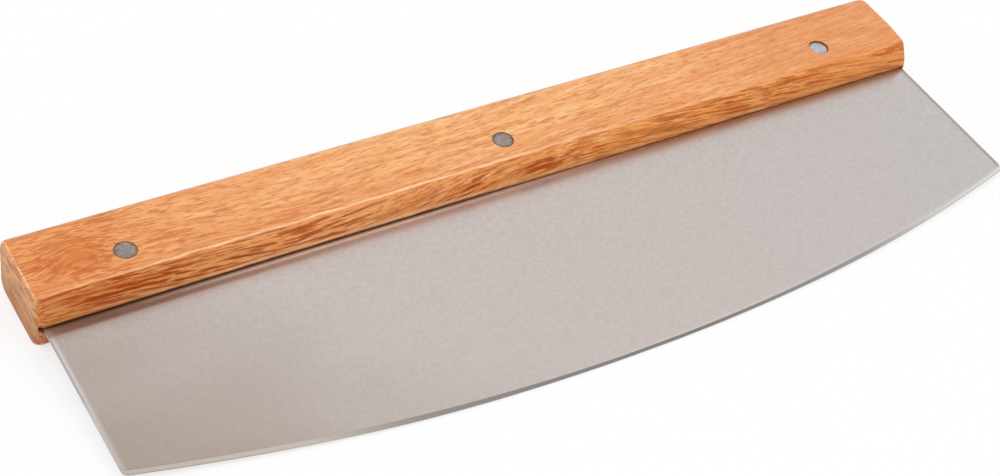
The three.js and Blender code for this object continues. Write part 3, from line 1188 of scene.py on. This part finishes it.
@dataclass
class Handle(SubAssembly):
    """The wooden bar: a moulded section drawn in round its ends, with a groove and three rivet seats.

    A pair of radii is for the left and the right end, and a stretch is a range of x.
    """

    plane: KnifePlane
    rivet: RivetSize
    places: Sequence[float]
    length: float
    thickness: float
    height: float
    crown_rise: float = 0.004
    ridge_radius: float = 0.0018
    worn_ridge_radius: float = 0.0030
    worn_shares: Pair = (0.25, 0.95)
    spine_radius: float = 0.0044
    corner_radius: float = 0.0034
    back_corners: Pair = (0.0022, 0.0030)
    front_corners: Pair = (0.0034, 0.0012)
    end_edges: Pair = (0.0013, 0.0016)
    worn_corner: float = 0.0011
    worn_corner_w: float = 0.0081
    worn_corner_spread: float = 0.006
    worn_corner_reach: float = 0.012
    groove_half_width: float = 0.001
    groove_closing: float = 0.0002
    groove_depth: float = 0.0223
    groove_end_wall: float = 0.0006
    closing_stretch: Pair = (-0.05, 0.03)
    lip_ease: float = 0.0003
    lip_ease_loss: float = 0.5
    ridge_points: int = 10
    crown_points: int = 42
    side_points: int = 14
    spine_corner_points: int = 12
    spine_points: int = 8
    rings: int = 120
    end_rings: int = 12
    closing_rings: int = 9
    cap_shares: tuple[float, ...] = (0.94, 0.8, 0.55, 0.25, 0.06)

    def section(self, ridge_radius: float) -> np.ndarray:
        """Closed outline of the bar in v and w.

        A wide crown arc on the blade side meets the flat broad sides in small tangent arcs, and
        quarter circles join the broad sides to the flat spine.

        Args:
            ridge_radius: Radius of the two arcs beside the crown.

        Returns:
            An array of points, the same number for every radius.
        """
        half = self.thickness / 2.0
        crown = (half ** 2 + self.crown_rise ** 2) / (2.0 * self.crown_rise)
        ridge_w = half - ridge_radius
        ridge_v = crown - math.sqrt((crown - ridge_radius) ** 2 - ridge_w ** 2)
        turn = math.atan2(ridge_w, ridge_v - crown)
        spine_v = self.height - self.spine_radius
        spine_w = half - self.spine_radius
        full = 2.0 * math.pi
        return np.concatenate([
            arc((ridge_v, ridge_w), ridge_radius, full / 4.0, turn, self.ridge_points),
            arc((crown, 0.0), crown, turn, full - turn, self.crown_points)[1:-1],
            arc((ridge_v, -ridge_w), ridge_radius, full - turn, 0.75 * full, self.ridge_points),
            graded_line((ridge_v, -half), (spine_v, -half), self.side_points),
            arc((spine_v, -spine_w), self.spine_radius, 0.75 * full, full, self.spine_corner_points),
            graded_line((self.height, -spine_w), (self.height, spine_w), self.spine_points),
            arc((spine_v, spine_w), self.spine_radius, 0.0, full / 4.0, self.spine_corner_points),
            graded_line((spine_v, half), (ridge_v, half), self.side_points),
        ])

    def drawn_in(self, x: np.ndarray, radii: Pair) -> np.ndarray:
        """How far the outline is drawn in at x: a quarter circle at each end of the bar.

        Args:
            x: Places along the bar.
            radii: Radius of the quarter circle at the left and at the right end.

        Returns:
            A column of distances.
        """
        radius = np.where(x < 0.0, radii[0], radii[1])
        return quarter_round(np.abs(x) - (self.length / 2.0 - radius), radius)[:, None]

    def surface(self) -> Skin:
        """The bar before it is cut.

        Each ring is the section, its ridges softened towards the right end, shrunk about its middle so that
        its sides follow the quarter circles at the ends. Shrinking rings close the flat ends. The right end
        is pulled in by a bell curve round the corners of its two ridges, where it is worn.

        Returns:
            The closed surface.
        """
        half = self.length / 2.0
        quarter = np.linspace(0.0, np.pi / 2.0, self.end_rings)
        end = half - self.corner_radius + self.corner_radius * np.sin(quarter)
        middle = np.linspace(-end[0], end[0], self.rings)[1:-1]
        shares = np.array(self.cap_shares)
        flat = np.full_like(shares, half)
        x = np.concatenate([-flat, -end[::-1], middle, end, flat])
        cap = np.concatenate([shares[::-1], np.ones(x.size - 2 * shares.size), shares])[:, None]

        worn = smooth_step(x / half, *self.worn_shares)[:, None, None]
        outline = (1.0 - worn) * self.section(self.ridge_radius)
        outline = outline + worn * self.section(self.worn_ridge_radius)
        middle_v = self.height / 2.0
        behind = outline[:, :, 0] > middle_v
        drawn = np.where(behind, self.drawn_in(x, self.back_corners), self.drawn_in(x, self.front_corners))
        shrink_v = 1.0 - drawn / middle_v
        shrink_w = 1.0 - self.drawn_in(x, self.end_edges) / (self.thickness / 2.0)
        v = middle_v + (outline[:, :, 0] - middle_v) * shrink_v * cap
        w = outline[:, :, 1] * shrink_w * cap

        from_corner = np.hypot(v - self.crown_rise, np.abs(w) - self.worn_corner_w)
        near_corner = np.exp(-(from_corner / self.worn_corner_spread) ** 2)
        near_end = smooth_step(x, half - self.worn_corner_reach, half)[:, None]
        pulled = self.worn_corner * near_end * near_corner
        return Skin(self.plane.place(np.stack([x[:, None] - pulled, v, w], axis=-1)))

    def groove(self) -> Skin:
        """The groove as a cutter: a slot that flares at its lips and closes a little to the right.

        Returns:
            The closed surface.
        """
        reach = self.length / 2.0 - self.groove_end_wall
        x = np.concatenate([[-reach], np.linspace(*self.closing_stretch, self.closing_rings), [reach]])
        closed = smooth_step(x, *self.closing_stretch)
        half = self.groove_half_width - self.groove_closing * closed
        ease = self.lip_ease * (1.0 - self.lip_ease_loss * closed)
        wide = half + 2.0 * ease
        side_v = [np.full_like(x, self.groove_depth), ease, -ease, np.full_like(x, -self.corner_radius)]
        v = np.stack(side_v + side_v[::-1], axis=1)
        w = np.stack([half, half, wide, wide, -wide, -wide, -half, -half], axis=1)
        return Skin(self.plane.place(np.stack([np.broadcast_to(x[:, None], v.shape), v, w], axis=-1)))

    def seat(self, x: float) -> Skin:
        """A rivet's hole and its two seats as a cutter, turned about the rivet's axis.

        Args:
            x: Where the rivet stands along the bar.

        Returns:
            The closed surface.
        """
        size = self.rivet
        half = self.thickness / 2.0
        seat_radius = size.head_radius + size.seat_gap
        flared = seat_radius + 2.0 * size.rim_ease
        level = half - size.head_recess - size.head_thickness - size.fit_gap
        upper = [
            (size.hole_radius, level),
            (seat_radius, level),
            (seat_radius, half - size.rim_ease),
            (flared, half + size.rim_ease),
            (flared, half + size.head_thickness),
        ]
        lower = [(radius, -height) for radius, height in reversed(upper)]
        return Skin(self.plane.place(turn_about(x, size.setback, lower + upper, size.steps)))

    def build(self) -> list[Item]:
        """Makes the bar and cuts its groove and rivet seats.

        Returns:
            The bar.
        """
        bar = self.surface().to_object("handle_bar")
        cutters = [self.groove().to_object("groove_cutter")]
        cutters += [self.seat(x).to_object("seat_cutter") for x in self.places]
        carve(bar, cutters, SHARP_ANGLE)
        return [bar]

    def dress(self, pieces: list[Item]) -> None:
        """Gives the bar its wood and puts it in place of the plain solid.

        Args:
            pieces: The bar.
        """
        bar, = pieces
        half_length, half_thickness = (size * MILLIMETRES / 2.0 for size in (self.length, self.thickness))
        bar.data.materials.clear()
        bar.data.materials.append(OiledWood(self.plane, half_length, half_thickness).make())
        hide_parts("handle")
        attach(bar, BODY)


@dataclass
class Blade(SubAssembly):
    """The steel sheet: straight ends, an arc-shaped belly ground on both sides, and a plain tang.

    The upper grind's gains and the stretches over which they come are for the left and the right of the
    belly, as are the places where it is fuller.
    """

    plane: KnifePlane
    rivet: RivetSize
    places: Sequence[float]
    length: float
    thickness: float
    end_drop: float = 0.0615
    sagitta: float = 0.0216
    grind_width: float = 0.00105
    grind_gains: Pair = (0.00065, 0.0003)
    gain_stretches: tuple[Pair, Pair] = ((0.01, 0.1), (0.04, 0.1))
    grind_slope: float = 0.325
    lower_grind_width: float = 0.00165
    fullness: Pair = (0.0006, 0.0004)
    full_places: Pair = (-0.09, 0.105)
    full_spread: float = 0.05
    edge_land: float = 0.00012
    edge_inset: float = 0.00003
    tang_depth: float = 0.022
    corner_radius: float = 0.0016
    end_ease: float = 0.0001
    face_points: int = 26
    grind_points: int = 6
    rings: int = 180
    corner_rings: int = 10
    shoulder_layer: str = "from_shoulder"
    sharp_angle: float = math.radians(9.0)

    @property
    def belly_radius(self) -> float:
        """Radius of the belly, from half the length and the sagitta."""
        half = self.length / 2.0
        return (half ** 2 + self.sagitta ** 2) / (2.0 * self.sagitta)

    def edge(self, x: np.ndarray) -> np.ndarray:
        """The cutting edge's v at x.

        It is a circular arc, a little fuller at both sides of its middle by two bell curves, with small
        quarter circles at its ends.

        Args:
            x: Places along the blade.

        Returns:
            The edge at each place.
        """
        radius = self.belly_radius
        belly = radius - self.end_drop - self.sagitta - np.sqrt(radius ** 2 - x ** 2)
        for gain, place in zip(self.fullness, self.full_places):
            belly = belly - gain * np.exp(-((x - place) / self.full_spread) ** 2)
        belly = np.maximum(belly, self.edge_inset - self.end_drop - self.sagitta)
        past = np.abs(x) - (self.length / 2.0 - self.corner_radius)
        return belly + quarter_round(past, self.corner_radius)

    def grind(self, x: np.ndarray) -> np.ndarray:
        """Width of the upper grind at x, which widens smoothly towards both ends of the belly.

        Args:
            x: Places along the blade.

        Returns:
            The width at each place.
        """
        gains = [gain * smooth_step(way, *stretch)
                 for gain, way, stretch in zip(self.grind_gains, (-x, x), self.gain_stretches)]
        return self.grind_width + sum(gains)

    def side(
        self, x: np.ndarray, width: np.ndarray, face_w: float, edge_w: np.ndarray
    ) -> tuple[np.ndarray, np.ndarray]:
        """One side of the sheet: flat from the tang to the shoulder, then slanting straight to the edge.

        Args:
            x: Places along the blade.
            width: Width of the grind at each place.
            face_w: Level of the flat.
            edge_w: Level of the edge at each place.

        Returns:
            Arrays of v and of w, with one row for each place.
        """
        edge = self.edge(x)[:, None]
        shoulder = edge + width[:, None]
        down = np.linspace(0.0, 1.0, self.face_points)[None, :]
        slant = np.linspace(0.0, 1.0, self.grind_points)[None, 1:]
        face_v = self.tang_depth + (shoulder - self.tang_depth) * down
        grind_v = shoulder + (edge - shoulder) * slant
        grind_w = face_w + (edge_w[:, None] - face_w) * slant
        v = np.concatenate([face_v, grind_v], axis=1)
        return v, np.concatenate([np.full_like(face_v, face_w), grind_w], axis=1)

    def surface(self) -> Skin:
        """The sheet before its rivet holes are cut.

        At each x the section runs from the tang down one side to the shoulder of the grind, in a straight
        slant to the edge, and back up the other side. The upper grind keeps its slope and widens towards
        both ends of the belly; the lower one keeps its width. The sheet is eased thinner at both ends.

        Returns:
            The closed surface.
        """
        half = self.length / 2.0
        quarter = np.linspace(0.0, np.pi / 2.0, self.corner_rings)
        end = half - self.corner_radius + (self.corner_radius - self.end_ease) * np.sin(quarter)
        middle = np.linspace(-end[0], end[0], self.rings)[1:-1]
        x = np.concatenate([[-half], -end[::-1], middle, end, [half]])
        at_end = np.abs(x) > half - self.end_ease / 2.0
        thin = np.where(at_end, 1.0 - 2.0 * self.end_ease / self.thickness, 1.0)

        face_w = self.thickness / 2.0
        edge_w = face_w - self.grind_slope * self.grind(x)
        upper_v, upper_w = self.side(x, self.grind(x), face_w, edge_w)
        lower_width = np.full_like(x, self.lower_grind_width)
        lower_v, lower_w = self.side(x, lower_width, -face_w, edge_w - self.edge_land)
        v = np.concatenate([upper_v, lower_v[:, ::-1]], axis=1)
        w = np.concatenate([upper_w, lower_w[:, ::-1]], axis=1) * thin[:, None]
        return Skin(self.plane.place(np.stack([np.broadcast_to(x[:, None], v.shape), v, w], axis=-1)))

    def mark_grind(self, sheet: Item) -> None:
        """Stores each point's distance from the shoulder of the grind on its own side, in millimetres.

        Args:
            sheet: The sheet, which gets the distances as a layer.
        """
        mesh = sheet.data
        points = np.empty(3 * len(mesh.vertices))
        mesh.vertices.foreach_get("co", points)
        x, v, w = self.plane.measure(points.reshape(-1, 3)).T
        x = np.clip(x, -self.length / 2.0, self.length / 2.0)
        middle_w = self.thickness / 2.0 - self.grind_slope * self.grind(x) - self.edge_land / 2.0
        width = np.where(w > middle_w, self.grind(x), self.lower_grind_width)
        layer = mesh.attributes.new(self.shoulder_layer, "FLOAT", "POINT")
        layer.data.foreach_set("value", (v - self.edge(x) - width) * MILLIMETRES)

    def build(self) -> list[Item]:
        """Makes the sheet and drills it for the rivets.

        Returns:
            The sheet.
        """
        sheet = self.surface().to_object("blade_sheet", self.sharp_angle)
        size = self.rivet
        bar = [(size.hole_radius, -self.thickness), (size.hole_radius, self.thickness)]
        rings = [turn_about(x, size.setback, bar, size.steps) for x in self.places]
        drills = [Skin(self.plane.place(ring)).to_object("drill") for ring in rings]
        carve(sheet, drills, self.sharp_angle)
        self.mark_grind(sheet)
        return [sheet]

    def dress(self, pieces: list[Item]) -> None:
        """Gives the sheet its steel and puts it in place of the plain solid.

        Args:
            pieces: The sheet.
        """
        sheet, = pieces
        steel = SatinSteel(self.plane, self.length * MILLIMETRES / 2.0, self.shoulder_layer)
        sheet.data.materials.clear()
        sheet.data.materials.append(steel.make())
        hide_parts("blade")
        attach(sheet, BODY)


@dataclass
class Rivet(SubAssembly):
    """One two-piece press rivet: a headed pin from above in a headed sleeve from below."""

    plane: KnifePlane
    size: RivetSize
    place: RivetPlace
    x: float
    half_thickness: float

    @property
    def wear(self) -> RivetWear:
        """How this rivet has aged."""
        return RIVET_WEAR[self.place]

    @property
    def under(self) -> float:
        """Level of the underside of a head."""
        return self.half_thickness - self.size.head_recess - self.size.head_thickness

    def head(self, top: float) -> list[Pair]:
        """Profile of a head from its rim to its middle.

        The rim is eased by a quarter circle, the face is dished by a shallow parabola, and a press mark
        sinks at the middle.

        Args:
            top: Level of the rim of the face.

        Returns:
            Pairs of radius and level.
        """
        size = self.size
        flat_radius = size.head_radius - size.ease
        rim = arc((flat_radius, top - size.ease), size.ease, 0.0, math.pi / 2.0, size.rim_points)
        radius = np.linspace(flat_radius, size.centre_radius, size.face_points)[1:]
        dish = size.dish_depth * (1.0 - (radius / size.head_radius) ** 2)
        mark = size.mark_depth * (1.0 - smooth_step(radius, *size.mark_radii))
        return [*map(tuple, rim), *zip(radius, top - dish - mark)]

    def turned(self, profile: Sequence[Pair]) -> Skin:
        """A half that is turned about the rivet's axis."""
        return Skin(self.plane.place(turn_about(self.x, self.size.setback, profile, self.size.steps)))

    def pin(self) -> Skin:
        """Solid half: the pin from its tip up to the head.

        Returns:
            The closed surface.
        """
        size = self.size
        tip = 3.0 * size.fit_gap - self.under
        stem = [
            (size.pin_radius - size.ease, tip),
            (size.pin_radius, tip + size.ease),
            (size.pin_radius, self.under),
            (size.head_radius, self.under),
        ]
        return self.turned(stem + self.head(self.half_thickness - self.wear.sunk))

    def sleeve(self) -> Skin:
        """Tubular half: from the floor of its bore up to its mouth and down the outside to the head.

        Returns:
            The closed surface.
        """
        size = self.size
        mouth = self.under - size.fit_gap
        floor = 2.0 * size.fit_gap - self.under
        tube = [
            (size.centre_radius, floor),
            (size.bore_radius, floor),
            (size.bore_radius, mouth),
            (size.sleeve_radius, mouth),
            (size.sleeve_radius, -self.under),
            (size.head_radius, -self.under),
        ]
        face = [(radius, -level) for radius, level in self.head(self.half_thickness - size.head_recess)]
        return self.turned(tube + face)

    def build(self) -> list[Item]:
        """Makes both halves.

        Returns:
            The pin and the sleeve.
        """
        name = self.place.value
        pin = self.pin().to_object(f"{name}_pressed_pin")
        return [pin, self.sleeve().to_object(f"{name}_pressed_sleeve")]

    def dress(self, pieces: list[Item]) -> None:
        """Gives both halves their metal and puts them in place of the plain solids.

        Args:
            pieces: The pin and the sleeve.
        """
        name = self.place.value
        centre = (self.x * MILLIMETRES, self.size.setback * MILLIMETRES)
        radius = self.size.head_radius * MILLIMETRES
        metal = DullRivet(self.plane, centre, radius, self.wear).make(f"{name}_rivet_metal")
        for half, node in zip(pieces, (f"{name}_rivet_pin", f"{name}_rivet_sleeve")):
            half.data.materials.append(metal)
            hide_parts(node)
            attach(half, BODY)


@dataclass(frozen=True)
class Knife:
    """The whole knife: the sizes that its pieces share."""

    spine_height: float = 0.0336
    left_inset: float = 0.0343
    right_inset: float = 0.0374
    middle_shift: float = -0.0009
    rivet: RivetSize = RivetSize()

    @property
    def mounts(self) -> dict[str, dict[str, Any]]:
        """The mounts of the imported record, by name."""
        return {mount["name"]: mount for mount in frame["record"]["mounts"]}

    @property
    def plane(self) -> KnifePlane:
        """The knife's own plane."""
        return KnifePlane.from_spine(self.mounts["spine_face"], self.spine_height)

    def rivet_places(self, length: float) -> dict[RivetPlace, float]:
        """Where the rivets stand along a handle.

        Args:
            length: Length of the handle.

        Returns:
            The x of each rivet.
        """
        left = self.left_inset - length / 2.0
        right = length / 2.0 - self.right_inset
        middle = (left + right) / 2.0 + self.middle_shift
        return {RivetPlace.LEFT: left, RivetPlace.MIDDLE: middle, RivetPlace.RIGHT: right}

    def sub_assemblies(self) -> list[SubAssembly]:
        """Sizes the handle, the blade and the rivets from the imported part.

        Returns:
            The sub-assemblies, in the order in which they are built.
        """
        plane, mounts = self.plane, self.mounts
        handle_low, handle_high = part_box("handle")
        blade_low, blade_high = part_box("blade")
        length = handle_high[0] - handle_low[0]
        blade_length = blade_high[0] - blade_low[0]
        half_thickness = plane.depth(mounts["lower_side_face"])
        blade_thickness = 2.0 * plane.depth(mounts["blade_flat"])
        places = self.rivet_places(length)
        stands = list(places.values())
        return [
            Handle(plane, self.rivet, stands, length, 2.0 * half_thickness, self.spine_height),
            Blade(plane, self.rivet, stands, blade_length, blade_thickness),
            *(Rivet(plane, self.rivet, place, x, half_thickness) for place, x in places.items()),
        ]


@dataclass(frozen=True)
class Viewpoint:
    """Where the picture is taken from, in the knife's own plane, in degrees, metres and pixels."""

    azimuth: float = -39.50
    elevation: float = 44.45
    roll: float = 12.28
    distance: float = 0.67741
    step_right: float = -0.00806
    step_up: float = -0.01888
    focal_px: float = 1927.5
    image_width_px: float = 1000.0
    sensor_mm: float = 36.0
    nearest: float = 0.01
    farthest: float = 100.0

    def place_camera(self, plane: KnifePlane) -> Item:
        """Makes the camera and sets it as the scene's own.

        Args:
            plane: The knife's own plane.

        Returns:
            The camera.
        """
        azimuth, elevation, roll = np.radians([self.azimuth, self.elevation, self.roll])
        back = np.array([
            np.sin(azimuth) * np.cos(elevation),
            -np.cos(azimuth) * np.cos(elevation),
            np.sin(elevation),
        ])
        level = np.array([np.cos(azimuth), np.sin(azimuth), 0.0])
        rise = np.cross(back, level)
        right = np.cos(roll) * level + np.sin(roll) * rise
        up = -np.sin(roll) * level + np.cos(roll) * rise
        stand = back * self.distance + right * self.step_right + up * self.step_up

        matrix = np.eye(4)
        matrix[:3, :3] = (np.stack([right, up, back]) @ plane.axes).T
        matrix[:3, 3] = plane.place(stand)
        data = bpy.data.cameras.new("camera")
        data.sensor_fit = "HORIZONTAL"
        data.sensor_width = self.sensor_mm
        data.lens = self.focal_px * self.sensor_mm / self.image_width_px
        data.clip_start = self.nearest
        data.clip_end = self.farthest
        camera = bpy.data.objects.new("camera", data)
        camera.matrix_world = Matrix(matrix.tolist())
        bpy.context.scene.collection.objects.link(camera)
        bpy.context.scene.camera = camera
        return camera


@dataclass(frozen=True)
class SoftLight:
    """A far, wide, even light."""

    name: str
    stands: Triple
    strength: float
    width: float

    def make(self) -> None:
        """Adds the light, shining from the direction it stands in and left out of reflections."""
        lamp = bpy.data.lights.new(self.name, "SUN")
        lamp.energy = self.strength * math.pi
        lamp.angle = self.width
        item = bpy.data.objects.new(self.name, lamp)
        item.visible_glossy = False
        item.rotation_euler = Vector(self.stands).to_track_quat("Z", "Y").to_euler()
        bpy.context.scene.collection.objects.link(item)


@dataclass
class Studio:
    """A pale floor under a wide soft overhead light and a weaker front light, with a white surround."""

    floor_half: float = 6.0
    floor_points: int = 3
    floor_colour: Colour = (0.95, 0.95, 0.95, 1.0)
    floor_roughness: float = 0.9
    floor_glow: float = 0.7
    surround_colour: Colour = (1.0, 1.0, 1.0, 1.0)
    surround_fill: float = 0.55
    key: SoftLight = SoftLight("overhead_softbox", (-0.35, -0.25, 0.90), 0.40, math.radians(50.0))
    front: SoftLight = SoftLight("front_softbox", (0.38, -0.58, 0.72), 0.19, math.radians(30.0))

    def seen(self, desk: NodeDesk) -> Feed:
        """One for rays from the camera, a reflection or a see-through surface, and zero for others."""
        rays = desk.node("ShaderNodeLightPath").outputs
        return desk.most(rays["Is Camera Ray"], rays["Is Glossy Ray"], rays["Is Transmission Ray"])

    def paper(self) -> Material:
        """White paper that is partly lit through from behind, so that shadows on it stay light.

        Returns:
            The material.
        """
        material = new_material("floor_paper")
        desk = NodeDesk(material.node_tree)
        lit = desk.shader(base_color=self.floor_colour, roughness=self.floor_roughness,
                          specular_ior_level=0.0)
        glow = desk.node("ShaderNodeEmission").outputs[0]
        mixed = desk.node("ShaderNodeMixShader", desk.product(self.seen(desk), self.floor_glow), lit, glow)
        desk.node("ShaderNodeOutputMaterial", mixed.outputs[0])
        return material

    def lay_floor(self) -> None:
        """Lays a level sheet, an even grid of x and y, at the height that the knife lies on."""
        count = self.floor_points
        side = np.linspace(-self.floor_half, self.floor_half, count)
        x, y = np.meshgrid(side, side, indexing="ij")
        points = np.stack([x, y, np.zeros_like(x)], axis=-1).reshape(-1, 3)
        step = np.arange(count - 1)
        corner = (step[:, None] * count + step[None, :]).reshape(-1)
        faces = np.stack([corner, corner + count, corner + count + 1, corner + 1], axis=1)
        mesh = bpy.data.meshes.new("floor")
        mesh.from_pydata(points.tolist(), [], faces.tolist())
        mesh.materials.append(self.paper())
        sheet = bpy.data.objects.new("floor", mesh)
        bpy.context.scene.collection.objects.link(sheet)

    def surround(self) -> None:
        """A white surround that the camera and shiny surfaces see in full, and that fills in softly."""
        world = bpy.data.worlds.new("surround")
        bpy.context.scene.world = world
        world.use_nodes = True
        desk = NodeDesk(world.node_tree)
        strength = desk.step(self.seen(desk), Step(0.0, 1.0, self.surround_fill, 1.0))
        shine = desk.node("ShaderNodeBackground", self.surround_colour, strength)
        desk.node("ShaderNodeOutputWorld", shine.outputs[0])

    def build(self) -> None:
        """Sets up the floor, the lights and the surround."""
        self.lay_floor()
        self.key.make()
        self.front.make()
        self.surround()
        bpy.context.scene.view_settings.view_transform = "Standard"


def main() -> None:
    """Builds and dresses the knife's sub-assemblies in order, then the studio and the camera."""
    logging.basicConfig(level=logging.INFO, format="%(name)s: %(message)s")
    knife = Knife()
    for assembly in knife.sub_assemblies():
        pieces = assembly.build()
        assembly.dress(pieces)
        for piece in pieces:
            LOG.info("%s: %d faces", piece.name, len(piece.data.polygons))
    Studio().build()
    Viewpoint().place_camera(knife.plane)


if __name__ == "__main__":
    main()
